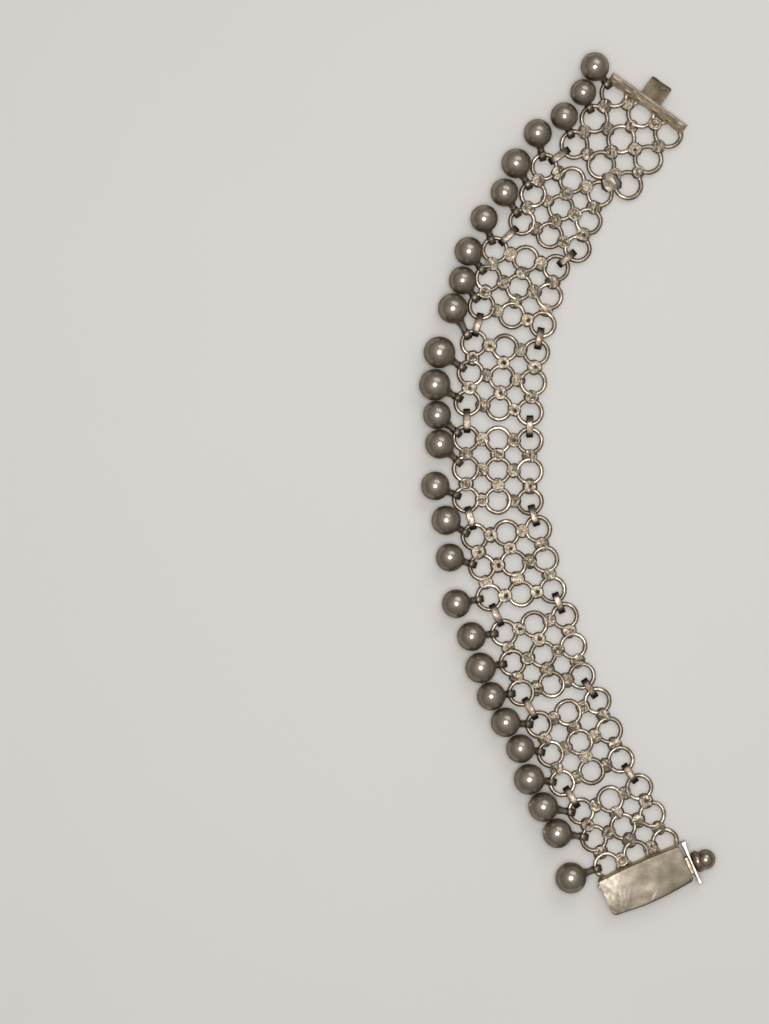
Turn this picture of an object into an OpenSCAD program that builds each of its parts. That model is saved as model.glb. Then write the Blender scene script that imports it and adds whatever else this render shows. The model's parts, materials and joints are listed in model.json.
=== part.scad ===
// Anklet of nine ring panels with a row of ball drops down one side.
// It lies open and flat, in a shallow curve, tongue end at +Y and box end at -Y.
// Units are millimetres, +Z is up and Z = 0 is the surface that it lies on.

/* [Ring panels] */
// Outer width of one wire ring
ring_w = 7.9; // [7.7:0.05:7.9]
// Thickness of the ring wire
wire_d = 1.2; // [1.1:0.05:1.2]
// Height of the wire's centre line above the surface
wire_z = 1.2; // [1.2:0.05:1.3]
// Width of the small round tiles soldered over the joints
tile_w = 3.7; // [3:0.1:3.7]
// Height of a tile
tile_h = 1.2; // [1.1:0.1:1.4]

/* [Strap links] */
// Length of a strap link on the side of the balls, over its round ends
link_l = 6.8; // [6.8:0.05:6.9]
// Length of a strap link on the plain side
plain_link_l = 6.2; // [6:0.1:6.4]
// Width of the strap
link_w = 1.9; // [1.5:0.1:1.9]
// Width of the one wide strap, first on the plain side
wide_link_w = 3.7; // [3.5:0.1:3.7]
// Thickness of the strap
strap_t = 0.45; // [0.35:0.05:0.45]
// Gap between the strap and the wire, above and below
link_gap = 0.12; // [0.1:0.01:0.15]

/* [Ball drops] */
// Outer diameter of the strap loop that hangs a ball on its ring
loop_d = 3.2; // [3.2:0.05:3.3]
// Width of that loop
loop_w = 1.9; // [1.5:0.1:1.9]
// Thickness of the neck where it leaves the loop
neck_d = 2; // [1.6:0.1:2.1]
// Spread of the neck where it meets the ball, as a share of the ball
shoulder = 0.55; // [0.45:0.01:0.6]

/* [Clasp box] */
// Length of the clasp box
box_l = 24.4; // [23.6:0.1:25]
// Width of the clasp box at its middle
box_w = 11.8; // [11.4:0.1:12]
// Height of the clasp box
box_h = 5.4; // [5.2:0.1:5.6]
// Thickness of its walls
box_wall = 0.6; // [0.5:0.1:0.7]
// Radius of the shallow curve of its outer side
box_bow = 80; // [70:5:110]
// Radius of the shallower curve of its inner side, where the rings are soldered
box_back_bow = 180; // [140:10:220]
// Width of the mouth in that side
mouth_w = 8; // [7:0.1:9]
// Height of the mouth
mouth_h = 3; // [2.8:0.1:3.2]

/* [Stop plate and tongue] */
// Length of the stop plate
stop_l = 25.4; // [24:0.1:26]
// Height of the stop plate
stop_h = 4.4; // [4.2:0.1:4.6]
// Thickness of the stop plate
stop_t = 0.7; // [0.6:0.05:0.8]
// Lean of the plate and droop of the tongue, in degrees
lean = 18; // [16:0.5:18]
// Width of the folded tongue
tongue_w = 6.5; // [5.5:0.1:6.6]
// Length of the folded tongue
tongue_l = 6.7; // [6.4:0.1:6.7]
// Thickness of the fold over both leaves
tongue_h = 2.4; // [2.3:0.05:2.4]

/* [Clasp pin] */
// Diameter of the pin shaft
pin_d = 1.4; // [1.2:0.05:1.4]
// Clearance of the shaft in its two holes, all round
pin_gap = 0.05; // [0.05:0.01:0.1]
// Length of the cap plate across the end of the box
cap_l = 12.6; // [11:0.1:13]
// Height of the cap plate
cap_h = 4.4; // [4:0.1:4.8]
// Thickness of the cap plate
cap_t = 1; // [0.8:0.1:1.1]
// Diameter of the flattened bead
bead_d = 6.2; // [5.8:0.1:6.2]
// Thickness of the flattened bead
bead_t = 2.6; // [2.4:0.1:2.8]
// Diameter of the ball at the end
finial_d = 5.6; // [5.2:0.1:5.8]

/* [Hidden] */
$fn = 48;

silver = "#8f8775";
dark_silver = "#5f564a";
pale_silver = "#a59f8a";

// The plan, seen from above. Panels are numbered from the tongue end.
// Each panel: centre x, centre y, turn of its rows, turn of its columns, ring spacing in a row and in a column
panels = [
    [15, 96.5, -37, -38, 9.4, 9.1],
    [-1.9, 77.35, -26, -22, 8.6, 8.3],
    [-13.65, 55.15, -16.5, -13.5, 8.9, 8.1],
    [-18.4, 29.85, -8.5, -6, 8.8, 8.4],
    [-19.5, 4, -2, 0, 8.9, 8.5],
    [-15.1, -22.05, 7, 13.5, 8.9, 8.7],
    [-6.9, -47.5, 15.5, 16, 8.8, 8.7],
    [3.4, -72, 22, 21.5, 8.8, 8.8],
    [15.5, -95.6, 22.5, 25.5, 8.8, 8.4]
];

// Each ball drop, three to a panel: heading of its ball from its ring, reach from the wire to the ball,
// ball diameter and how far round the ring its loop has slid away from a strap link, in degrees
bells = [
    [129, 5.7, 8, 0], [115, 4.5, 7.3, 0], [111.5, 4.8, 7.7, 0],
    [102.5, 5.9, 7.9, 0], [120.5, 6.3, 8.3, 0], [122.5, 6, 7.8, 0],
    [110.5, 5.7, 7.7, 0], [127.5, 5.8, 8, 0], [127.5, 5.5, 7.8, 0],
    [122, 7.9, 8.4, 7], [147.5, 7.1, 8.9, 0], [152, 7.1, 8.8, 0],
    [141.5, 7.1, 7.9, 5], [137, 6.8, 8.2, 0], [156.5, 6.1, 8, 0],
    [150, 6, 8.2, 4], [163, 6.1, 7.9, 0], [190, 6.1, 8.1, 0],
    [185.5, 5.9, 8.1, 0], [188, 5.8, 8.6, 0], [185.5, 5.2, 8, 0],
    [175, 6.2, 8.3, 3], [169, 5.4, 8, 0], [172, 6.1, 8.6, 0],
    [172, 7.5, 8.3, 10], [170.5, 7.2, 8.2, 0], [196.5, 7.4, 8.7, 0]
];

// Middle and turn of the stop plate and of the clasp box
stop_at = [21.98, 106.05, -35.5];
box_at = [21.62, -110.61, 24];

// Middle of the whole anklet on the same plan, which becomes the origin
middle = [-0.25, 0.13];

ring_r = (ring_w - wire_d) / 2;
link_h = wire_d + 2 * link_gap + 2 * strap_t;
loop_z = loop_d / 2;

// How far the middle of a ball's loop lies inside the wire that it hangs on
loop_in = 0.2;

// Width of the solder line between an end panel and its half of the clasp
seam = 0.06;

// How far the stop plate stays off the box when the clasp is shut
shut_gap = 0.5;

// How deep the end ball of the pin is sunk into the bead, and how far it is soldered off the pin's line
ball_sink = 1.8;
ball_off = 0.4;

// The pin lies where the inside of the tongue's fold comes when the clasp is shut
pin_y = -box_w / 2 + tongue_l - tongue_h / 2 - shut_gap;
pin_z = 3.15;

// Centre of the ring in a row and a column (0 to 2) of panel n (0 to 8)
function ring_at(n, row, col) =
    let (p = panels[n], u = (col - 1) * p[4], v = (1 - row) * p[5])
    [p[0] + u * cos(p[2]) - v * sin(p[3]), p[1] + u * sin(p[2]) + v * cos(p[3])];

// Angle of the way from one point to another
function heading(a, b) = atan2(b[1] - a[1], b[0] - a[0]);

// Places something at a point of the plan
module at(point, turn = 0) {
    translate([point[0] - middle[0], point[1] - middle[1], 0]) rotate(turn) children();
}

// Flat outline with round ends
module stadium(l, h) {
    square([l - h, h], center = true);
    for (side = [-1, 1])
        translate([side * (l - h) / 2, 0]) circle(d = h);
}

// Nine wire rings and the twelve tiles soldered over their joints, for panel n + 1
module grille(n) {
    for (row = [0:2], col = [0:2])
        at(ring_at(n, row, col), panels[n][2] + 45)
            translate([0, 0, wire_z]) rotate_extrude() translate([ring_r, 0]) circle(d = wire_d);
    for (row = [0:2], col = [0:1]) {
        tile(ring_at(n, row, col), ring_at(n, row, col + 1));
        tile(ring_at(n, col, row), ring_at(n, col + 1, row));
    }
}

// Tile halfway between two rings
module tile(a, b) {
    at((a + b) / 2, heading(a, b) + 90) translate([0, 0, wire_z - 0.35]) cylinder(d = tile_w, h = tile_h);
}

module panel(n) {
    color(silver) grille(n - 1);
}

// The first panel ends at the plate that its end rings are soldered to
module panel_1() {
    color(silver) difference() {
        grille(0);
        on_plate() translate([-stop_l, -stop_t / 2 - seam, -stop_h]) cube([2 * stop_l, 10, 3 * stop_h]);
    }
}

// The last panel ends at the curved inner side of the clasp box
module panel_9() {
    color(silver) difference() {
        grille(8);
        at(box_at, box_at[2]) translate([0, box_w / 2 - box_back_bow, -1])
            cylinder(r = box_back_bow + seam, h = box_h + 2, $fn = 720);
    }
}

// Puts something in the frame of the leaning stop plate, whose middle line is at y = 0
module on_plate() {
    at(stop_at, stop_at[2]) translate([0, 0, 0.15]) rotate([-lean, 0, 0]) children();
}

// The leaning stop plate with the folded tongue on it
module tongue_plate() {
    color(silver) on_plate() {
        translate([-stop_l / 2, -stop_t / 2, 0]) cube([stop_l, stop_t, stop_h]);
        tongue();
    }
}

// A strip folded into a flat eye, standing square out of the stop plate
module tongue() {
    root = stop_t / 2 - 0.1;
    reach = tongue_l + 0.1;
    middle_z = stop_h - tongue_h / 2 - 0.15;
    difference() {
        translate([-tongue_w / 2, 0, middle_z]) rotate([90, 0, 90]) linear_extrude(tongue_w)
            eye(root, reach, tongue_h);
        translate([-tongue_w, 0, middle_z]) rotate([90, 0, 90]) linear_extrude(2 * tongue_w)
            eye(root + 0.1, reach - 0.1 - strap_t, tongue_h - 2 * strap_t);
    }
}

// Outline of the fold: square at its root, round at its tip
module eye(root, l, h) {
    translate([root, -h / 2]) square([l - h / 2, h]);
    translate([root + l - h / 2, 0]) circle(d = h);
}

// Outline of the clasp box, drawn in all round by its walls
module box_outline(inset) {
    intersection() {
        square([box_l - 2 * inset, 2 * box_w], center = true);
        translate([0, box_bow - box_w / 2]) circle(r = box_bow - inset, $fn = 360);
        translate([0, box_w / 2 - box_back_bow]) circle(r = box_back_bow - inset, $fn = 720);
    }
}

// The clasp box, hollow and open at its mouth, with a hole in each end for the pin
module clasp_box() {
    color(pale_silver) at(box_at, box_at[2]) difference() {
        linear_extrude(box_h) box_outline(0);
        translate([0, 0, box_wall]) linear_extrude(box_h - 2 * box_wall) box_outline(box_wall);
        translate([-mouth_w / 2, -box_w, pin_z - mouth_h / 2]) cube([mouth_w, box_w, mouth_h]);
        translate([-box_l, pin_y, pin_z]) rotate([0, 90, 0]) cylinder(d = pin_d + 2 * pin_gap, h = 2 * box_l);
    }
}

// Flat strap link through the last ring of panel n and the first ring of the next one
module link(n, col, l, w) {
    a = ring_at(n, 2, col);
    b = ring_at(n + 1, 0, col);
    at((a + b) / 2, heading(a, b))
        translate([0, w / 2, wire_z]) rotate([90, 0, 0]) linear_extrude(w) difference() {
            stadium(l, link_h);
            stadium(l - 2 * strap_t, link_h - 2 * strap_t);
        }
}

module bell_side_links() {
    color(silver) for (n = [0:7]) link(n, 0, link_l, link_w);
}

module plain_side_links() {
    color(silver) for (n = [0:7]) link(n, 2, plain_link_l, n == 0 ? wide_link_w : link_w);
}

// Point at a heading and a distance from the middle of a ring
function out_from(ring, turn, far) = ring + far * [cos(turn), sin(turn)];

// Ball drop: a strap loop round the wire of a left-hand ring, a widening neck and a ball at rest
module bell(i) {
    hang = bells[i - 1];
    r = hang[2] / 2;
    ring = ring_at(floor((i - 1) / 3), (i - 1) % 3, 0);
    hook = out_from(ring, hang[0] + hang[3], ring_r - loop_in);
    ball = out_from(ring, hang[0], ring_r + hang[1]);
    reach = norm(ball - hook);
    rise = r - loop_z;
    far = norm([reach, rise]);
    neck_start = loop_z - strap_t / 2;
    neck_end = far - r * sqrt(1 - shoulder * shoulder);
    color(dark_silver) at(hook, heading(hook, ball)) translate([0, 0, loop_z]) {
        rotate([90, 0, 0]) difference() {
            cylinder(d = loop_d, h = loop_w, center = true);
            cylinder(d = loop_d - 2 * strap_t, h = 2 * loop_w, center = true);
        }
        rotate([0, 90 - atan2(rise, reach), 0]) {
            translate([0, 0, neck_start])
                cylinder(d1 = neck_d, r2 = shoulder * r, h = neck_end - neck_start);
            translate([0, 0, far]) sphere(r = r);
        }
    }
}

// The pin that locks the clasp: shaft, collar, cap plate, flattened bead and ball
module clasp_pin() {
    collar_x = box_l / 2 + 0.1;
    cap_x = collar_x + 0.9;
    bead_x = cap_x + cap_t + bead_t / 2 - 0.1;
    color(silver) at(box_at, box_at[2]) translate([0, pin_y, pin_z]) {
        translate([-box_l / 2, 0, 0]) rotate([0, 90, 0]) cylinder(d = pin_d, h = bead_x + box_l / 2);
        translate([collar_x, -2.5, -1.5]) cube([1, 5, 3]);
        translate([cap_x, -cap_l / 2 + 0.5, -cap_h / 2]) cube([cap_t, cap_l, cap_h]);
        translate([bead_x, 0, 0]) rotate([0, 90, 0]) rotate_extrude() intersection() {
            translate([bead_d / 2, 0]) square([bead_d, bead_t], center = true);
            translate([(bead_d - bead_t) / 2, 0]) {
                circle(d = bead_t);
                translate([-bead_d, -bead_t / 2]) square([bead_d, bead_t]);
            }
        }
        translate([bead_x + bead_t / 2 + finial_d / 2 - ball_sink, -ball_off, 0]) sphere(d = finial_d);
    }
}

panel_1();
panel(2);  // panel_2
panel(3);  // panel_3
panel(4);  // panel_4
panel(5);  // panel_5
panel(6);  // panel_6
panel(7);  // panel_7
panel(8);  // panel_8
panel_9();
tongue_plate();
clasp_box();
bell_side_links();
plain_side_links();
bell(1);  // bell_01
bell(2);  // bell_02
bell(3);  // bell_03
bell(4);  // bell_04
bell(5);  // bell_05
bell(6);  // bell_06
bell(7);  // bell_07
bell(8);  // bell_08
bell(9);  // bell_09
bell(10);  // bell_10
bell(11);  // bell_11
bell(12);  // bell_12
bell(13);  // bell_13
bell(14);  // bell_14
bell(15);  // bell_15
bell(16);  // bell_16
bell(17);  // bell_17
bell(18);  // bell_18
bell(19);  // bell_19
bell(20);  // bell_20
bell(21);  // bell_21
bell(22);  // bell_22
bell(23);  // bell_23
bell(24);  // bell_24
bell(25);  // bell_25
bell(26);  // bell_26
bell(27);  // bell_27
clasp_pin();
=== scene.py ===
"""Silver anklet of nine ring panels with ball drops and a box clasp, lying open on a pale table."""

import json
from math import asin, atan2, copysign, cos, degrees, exp, hypot, pi, radians, sin, sqrt

import bmesh
import bpy
from mathutils import Matrix, Vector, noise

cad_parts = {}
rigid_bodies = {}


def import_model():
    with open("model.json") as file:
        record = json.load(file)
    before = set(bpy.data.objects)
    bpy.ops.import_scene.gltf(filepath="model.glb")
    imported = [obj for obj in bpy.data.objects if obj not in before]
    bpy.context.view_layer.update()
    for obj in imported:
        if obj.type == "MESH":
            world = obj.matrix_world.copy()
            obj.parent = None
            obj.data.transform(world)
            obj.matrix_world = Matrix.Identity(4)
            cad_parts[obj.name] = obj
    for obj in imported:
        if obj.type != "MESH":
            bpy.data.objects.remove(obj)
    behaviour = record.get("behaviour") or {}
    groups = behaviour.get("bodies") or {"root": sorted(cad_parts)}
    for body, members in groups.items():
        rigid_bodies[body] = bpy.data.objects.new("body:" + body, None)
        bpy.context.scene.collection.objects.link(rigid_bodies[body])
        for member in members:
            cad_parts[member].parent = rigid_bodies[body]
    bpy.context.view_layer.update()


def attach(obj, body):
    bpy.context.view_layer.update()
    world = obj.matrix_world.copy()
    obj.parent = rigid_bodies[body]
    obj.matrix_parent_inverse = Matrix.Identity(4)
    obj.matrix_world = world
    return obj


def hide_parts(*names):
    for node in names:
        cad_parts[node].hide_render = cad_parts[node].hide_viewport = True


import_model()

MM = 0.001
ANKLET, PIN = "anklet", "pin"

# The plan of the anklet, in millimetres seen from above

# Centre x, centre y, turn of its rows, turn of its columns, ring spacing in a row and in a column
PANELS = [
    (15, 96.5, -37, -38, 9.4, 9.1),
    (-1.9, 77.35, -26, -22, 8.6, 8.3),
    (-13.65, 55.15, -16.5, -13.5, 8.9, 8.1),
    (-18.4, 29.85, -8.5, -6, 8.8, 8.4),
    (-19.5, 4, -2, 0, 8.9, 8.5),
    (-15.1, -22.05, 7, 13.5, 8.9, 8.7),
    (-6.9, -47.5, 15.5, 16, 8.8, 8.7),
    (3.4, -72, 22, 21.5, 8.8, 8.8),
    (15.5, -95.6, 22.5, 25.5, 8.8, 8.4),
]
PANEL_NODES = [f"panel_{n}" for n in range(1, 10)]
FIRST, LAST = 0, 8

# Three drops to a panel: heading of the ball from its ring, reach from the wire to the ball,
# ball diameter, and how far its loop has slid away from a strap link, angles in degrees
DROPS = [
    (129, 5.7, 8, 0), (115, 4.5, 7.3, 0), (111.5, 4.8, 7.7, 0),
    (102.5, 5.9, 7.9, 0), (120.5, 6.3, 8.3, 0), (122.5, 6, 7.8, 0),
    (110.5, 5.7, 7.7, 0), (127.5, 5.8, 8, 0), (127.5, 5.5, 7.8, 0),
    (122, 7.9, 8.4, 7), (147.5, 7.1, 8.9, 0), (152, 7.1, 8.8, 0),
    (141.5, 7.1, 7.9, 5), (137, 6.8, 8.2, 0), (156.5, 6.1, 8, 0),
    (150, 6, 8.2, 4), (163, 6.1, 7.9, 0), (190, 6.1, 8.1, 0),
    (185.5, 5.9, 8.1, 0), (188, 5.8, 8.6, 0), (185.5, 5.2, 8, 0),
    (175, 6.2, 8.3, 3), (169, 5.4, 8, 0), (172, 6.1, 8.6, 0),
    (172, 7.5, 8.3, 10), (170.5, 7.2, 8.2, 0), (196.5, 7.4, 8.7, 0),
]
# Drops whose far pole still shows the nub of the solder
NUBBED = (1, 25, 26, 27)

# Middle x and y on the plan and turn, of the stop plate and of the clasp box
STOP_AT = (21.98, 106.05, -35.5)
BOX_AT = (21.62, -110.61, 24)
# The point of the plan on which the frame is centred
MIDDLE = (-0.25, 0.13)
# The camera stands straight above this point of the plan
CAMERA_AT, CAMERA_HEIGHT = (-51.21, -7.7), 800
LENS, SENSOR_HEIGHT = 100.45, 36.0

# Sizes of the parts, in millimetres

RING_WIDTH, WIRE, WIRE_Z = 7.9, 1.2, 1.2
RING_R, FIRST_RING_R = (RING_WIDTH - WIRE) / 2, 3.62
TILE_WIDTH = 3.7
STRAP = 0.45
LINK_LENGTH, PLAIN_LINK_LENGTH, LINK_WIDTH, LINK_HEIGHT = 6.8, 6.2, 1.9, WIRE + 0.24 + 2 * STRAP
LOOP, LOOP_WIDTH, LOOP_IN, NECK, SHOULDER = 3.2, 1.9, 0.2, 1.8, 0.38
BOX_LENGTH, BOX_WIDTH, BOX_HEIGHT, BOX_WALL = 24.4, 11.8, 5.4, 0.6
BOX_BOW, BOX_BACK_BOW = 80.0, 180.0
MOUTH_WIDTH, MOUTH_HEIGHT = 8.0, 3.0
STOP_LENGTH, STOP_HEIGHT, STOP_THICK, LEAN = 25.4, 4.4, 0.7, 18
TONGUE_WIDTH, TONGUE_LENGTH, TONGUE_HEIGHT = 6.5, 6.7, 2.4
PIN_WIDTH, PIN_GAP, PIN_Z = 1.4, 0.05, 3.15
PIN_Y = -BOX_WIDTH / 2 + TONGUE_LENGTH - TONGUE_HEIGHT / 2 - 0.5
CAP_LENGTH, CAP_HEIGHT, CAP_THICK = 12.6, 4.4, 1.0
COLLAR = (1.0, 5, 3)
BEAD, BEAD_THICK, FINIAL, FINIAL_SINK, FINIAL_OFF = 6.2, 2.6, 5.6, 1.8, 0.4


def at(x, y, turn=0.0, z=0.0):
    """A place on the plan, in metres, turned about the vertical."""
    place = Matrix.Translation(((x - MIDDLE[0]) * MM, (y - MIDDLE[1]) * MM, z * MM))
    return place @ Matrix.Rotation(radians(turn), 4, "Z")


def shift(x, y, z):
    """A move in millimetres."""
    return Matrix.Translation((x * MM, y * MM, z * MM))


# The frames of the leaning stop plate, of the clasp box and of its pin, which runs along X
leaning = at(*STOP_AT) @ shift(0, 0, 0.15) @ Matrix.Rotation(radians(-LEAN), 4, "X")
boxed = at(*BOX_AT)
pinned = boxed @ shift(0, PIN_Y, PIN_Z)
# Turns what was made about Z so that it runs along X
Z_TO_X = Matrix.Rotation(pi / 2, 4, "Y")


def ring_at(panel, row, col):
    """Centre of a ring on the plan: rows and columns count 0 to 2 from the top left."""
    x, y, row_turn, col_turn, across, along = PANELS[panel]
    u, v = (col - 1) * across, (1 - row) * along
    a, b = radians(row_turn), radians(col_turn)
    return x + u * cos(a) - v * sin(b), y + u * sin(a) + v * cos(b)


def wire_r(panel):
    """Radius of a panel's rings; those of the first are a little larger."""
    return RING_R if panel else FIRST_RING_R


def bend(t, start, control, end):
    """A point on a soft bend from start to end that leans towards a control point."""
    return (1 - t) ** 2 * start + 2 * t * (1 - t) * control + t * t * end


def drawn_in(left, corner):
    """How far a side is drawn in by a round corner, when so much is left to the end."""
    if left >= corner:
        return 0.0
    return corner - sqrt(max(0.0, corner ** 2 - (corner - left) ** 2))


# Shader and tree nodes

# Beginnings of the names of the kinds of nodes
FAMILIES = ("GeometryNode", "ShaderNode", "FunctionNode", "Node")


def named(sockets, label):
    """The socket in use that carries a label."""
    return next(s for s in sockets if s.name == label and s.enabled)


def out(node, label=None):
    """An output of a node: the one with the label, or else the first in use."""
    return named(node.outputs, label) if label else next(s for s in node.outputs if s.enabled)


def feed(group, socket, value):
    """Links a socket to an output, or sets its value."""
    if isinstance(value, bpy.types.NodeSocket):
        group.links.new(value, socket)
    else:
        socket.default_value = value


def feed_all(group, node, **inputs):
    """Feeds several inputs of a node; each is a value or the output that feeds it."""
    for label, value in inputs.items():
        feed(group, named(node.inputs, label.replace("_", " ")), value)
    return node


def add(group, kind, settings=None, **inputs):
    """Adds a node of a kind, which is named without its family, and feeds its inputs."""
    family = next(start for start in FAMILIES if hasattr(bpy.types, start + kind))
    node = group.nodes.new(family + kind)
    for key, value in (settings or {}).items():
        setattr(node, key, value)
    return feed_all(group, node, **inputs)


def sums(group, operation, *values, kind="Math", **inputs):
    """The result of one sum."""
    node = add(group, kind, {"operation": operation}, **inputs)
    for socket, value in zip(node.inputs, values):
        feed(group, socket, value)
    return out(node)


def vector_sums(group, operation, *values, **inputs):
    """The result of one sum on vectors."""
    return sums(group, operation, *values, kind="VectorMath", **inputs)


def coordinate(group, vector, axis):
    """One coordinate of a vector."""
    return out(add(group, "SeparateXYZ", Vector=vector), axis)


# The metal finishes


def new_material(name):
    """A new material, with its nodes, its shader and the place of each point."""
    material = bpy.data.materials.new(name)
    material.use_nodes = True
    group = material.node_tree
    place = out(add(group, "TexCoord"), "Object")
    return material, group, group.nodes["Principled BSDF"], place


def blend_colours(group, factor, first, second):
    """Mixes two colours."""
    first, second = ((*c, 1) if isinstance(c, tuple) else c for c in (first, second))
    return out(add(group, "Mix", {"data_type": "RGBA"}, Factor=factor, A=first, B=second), "Result")


def shade(colour, share):
    """A colour made darker or paler by a share."""
    return tuple(min(1.0, c * share) for c in colour)


def span(group, value, low, high, to_low=0.0, to_high=1.0):
    """Stretches a value from one span to another and keeps it inside."""
    return out(add(group, "MapRange", Value=value, From_Min=low, From_Max=high, To_Min=to_low,
                   To_Max=to_high))


def grain_of(group, place, size, detail=3.0, rough=0.55, stretch=None, turn=0.0):
    """Soft noise of a size in millimetres, drawn out along one direction where asked."""
    if stretch:
        place = out(add(group, "Mapping", Vector=place, Scale=stretch, Rotation=(0, 0, turn)))
    node = add(group, "TexNoise", Vector=place, Scale=1 / (size * MM), Detail=detail, Roughness=rough)
    return out(node, "Fac")


def dent(group, height, strength, depth, normal=None):
    """Adds relief of a depth in millimetres to the surface."""
    under = {"Normal": normal} if normal else {}
    return out(add(group, "Bump", Height=height, Strength=strength, Distance=depth * MM, **under))


# Tint of the metal where it is seen edge-on: dull with tarnish, or polished
DULL_EDGE, BRIGHT_EDGE = (0.45, 0.41, 0.36, 1), (1.0, 0.93, 0.84, 1)


def upward(group):
    """How far a face looks up, as noted on the mesh."""
    return out(add(group, "Attribute", {"attribute_name": "up"}), "Fac")


def polish(group, shader, shine, relief):
    """The bright skin that handling leaves on the tops of balls."""
    feed_all(group, shader, Specular_Tint=BRIGHT_EDGE, Coat_Roughness=0.13, Coat_IOR=2.3, Coat_Normal=relief,
             Coat_Weight=span(group, upward(group), 0.38, 0.86, 0.0, shine))


def metal(name, colours, stain, roughness, dents=(0.9, 0.5), scratches=0.0, crown=None, pits=0.0,
          facing=None, skin=0.0):
    """Worn silver, from the tarnish in the hollows to the metal that wear keeps bright.

    stain, scratches and pits are sizes in millimetres and dents a size and a strength; crown is the
    low and the high level between which painted shade goes from dark low sides to full colour on top, and
    facing the same by how far its face looks up, for painted shade where it looks away; skin is how much of
    its top is polished."""
    material, group, shader, place = new_material(name + "_silver")
    feed_all(group, shader, Metallic=1.0, Specular_Tint=DULL_EDGE)

    stains = grain_of(group, place, stain, 5.0, 0.62)
    ramp = add(group, "ValToRGB", Fac=stains)
    stops = ramp.color_ramp.elements
    stops[0].position, stops[0].color = 0.32, (*colours[0], 1)
    stops[1].position, stops[1].color = 0.68, (*colours[2], 1)
    stops.new(0.5).color = (*colours[1], 1)
    colour = out(ramp, "Color")
    rough = span(group, stains, 0.3, 0.7, *roughness)
    relief = dent(group, grain_of(group, place, dents[0], 2.0), dents[1], 0.06)

    if pits:
        cells = add(group, "TexVoronoi", Vector=place, Scale=1 / (pits * MM))
        hollow = span(group, out(cells, "Distance"), 0.08, 0.34)
        colour = blend_colours(group, hollow, shade(colours[0], 0.45), colour)
        relief = dent(group, hollow, 0.6, 0.12, relief)
    if scratches:
        lines = grain_of(group, place, scratches, 3.0, 0.6, (0.1, 1.0, 1.0), 0.6)
        relief = dent(group, lines, 0.35, 0.03, relief)
        bright = span(group, lines, 0.62, 0.72, 0.0, 0.4)
        colour = blend_colours(group, bright, colour, shade(colours[2], 1.6))
    if crown:
        # Painted shade: darker on the low sides of the piece, full colour on its top
        top = span(group, coordinate(group, place, "Z"), crown[0] * MM, crown[1] * MM)
        colour = blend_colours(group, top, shade(colours[0], 0.5), colour)
    if facing:
        # Painted shade: darker where a face looks away from the top; with the limits reversed, the top is
        # painted darker instead
        look_up = span(group, upward(group), *facing)
        colour = blend_colours(group, look_up, shade(colours[0], 0.45), colour)
    if skin:
        polish(group, shader, skin, relief)
    feed_all(group, shader, Base_Color=colour, Roughness=rough, Normal=relief)
    return material


def box_metal():
    """The sheet of the clasp box: rippled at one end, whose crests are made pale by painted highlight, dull
    in the middle, with painted shade at the far outer corner, painted light on its walls and one short
    bright streak."""
    colours = [(0.165, 0.138, 0.104), (0.235, 0.2, 0.156), (0.31, 0.268, 0.213)]
    material = metal("box", colours, stain=6.0, roughness=(0.52, 0.42), dents=(2.4, 0.25), scratches=0.35)
    group = material.node_tree
    shader = group.nodes["Principled BSDF"]
    colour = shader.inputs["Base Color"].links[0].from_socket
    relief = shader.inputs["Normal"].links[0].from_socket
    own = out(add(group, "Mapping", {"vector_type": "TEXTURE"},
                  Vector=out(add(group, "TexCoord"), "Object"),
                  Location=at(*BOX_AT[:2]).translation, Rotation=(0, 0, radians(BOX_AT[2]))))
    along, across = coordinate(group, own, "X"), coordinate(group, own, "Y")

    ripples = grain_of(group, own, 1.5, 1.5, 0.5, (1.0, 0.55, 1.0))
    pale_end = span(group, along, -3.5 * MM, -8.5 * MM)
    upper = span(group, across, -3.5 * MM, 0.5 * MM)
    crests = span(group, ripples, 0.3, 0.65)
    # Painted highlight: the crests of the ripples at the end, towards its upper side, are made pale
    pale = sums(group, "MULTIPLY", sums(group, "MULTIPLY", pale_end, upper), crests)
    colour = blend_colours(group, pale, colour, (0.5, 0.45, 0.38))
    relief = dent(group, sums(group, "MULTIPLY", ripples, pale_end), 0.6, 0.45, relief)

    # Painted shade: the far outer corner of the box is darkened
    dark_end = sums(group, "MULTIPLY", span(group, along, 0.0, 6.5 * MM),
                    span(group, across, 6.0 * MM, -4.0 * MM))
    colour = blend_colours(group, sums(group, "MULTIPLY", dark_end, 0.9), colour, (0.12, 0.1, 0.077))

    # A short bright streak painted at one place on the top
    bright_streak = add(group, "Mapping", {"vector_type": "TEXTURE"}, Vector=own,
              Location=(0.5 * MM, -4.3 * MM, BOX_HEIGHT * MM), Rotation=(0, 0, radians(39)),
              Scale=(1.9 * MM, 0.55 * MM, 3 * MM))
    away = vector_sums(group, "LENGTH", out(bright_streak))
    colour = blend_colours(group, span(group, away, 1.0, 0.2, 0.0, 0.5), colour, (0.62, 0.57, 0.49))

    # Painted light: the walls, which look away from the top and mirror the shaded table, are made paler
    walls = span(group, upward(group), 0.6, 0.0)
    colour = blend_colours(group, walls, colour, (0.62, 0.54, 0.43))
    feed_all(group, shader, Base_Color=colour, Normal=relief)
    return material


# Painted shade on the low sides of the wires
wire_silver = metal("wire", [(0.173, 0.139, 0.104), (0.31, 0.253, 0.196), (0.741, 0.645, 0.538)],
                    stain=4.2, roughness=(0.46, 0.28), crown=(0.8, 1.5))
# Painted shade on the low sides of the tiles
tile_silver = metal("tile", [(0.162, 0.134, 0.102), (0.248, 0.211, 0.164), (0.37, 0.321, 0.258)],
                    stain=0.9, roughness=(0.5, 0.32), dents=(0.45, 0.6), crown=(1.3, 1.8), pits=1.9)
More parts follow.
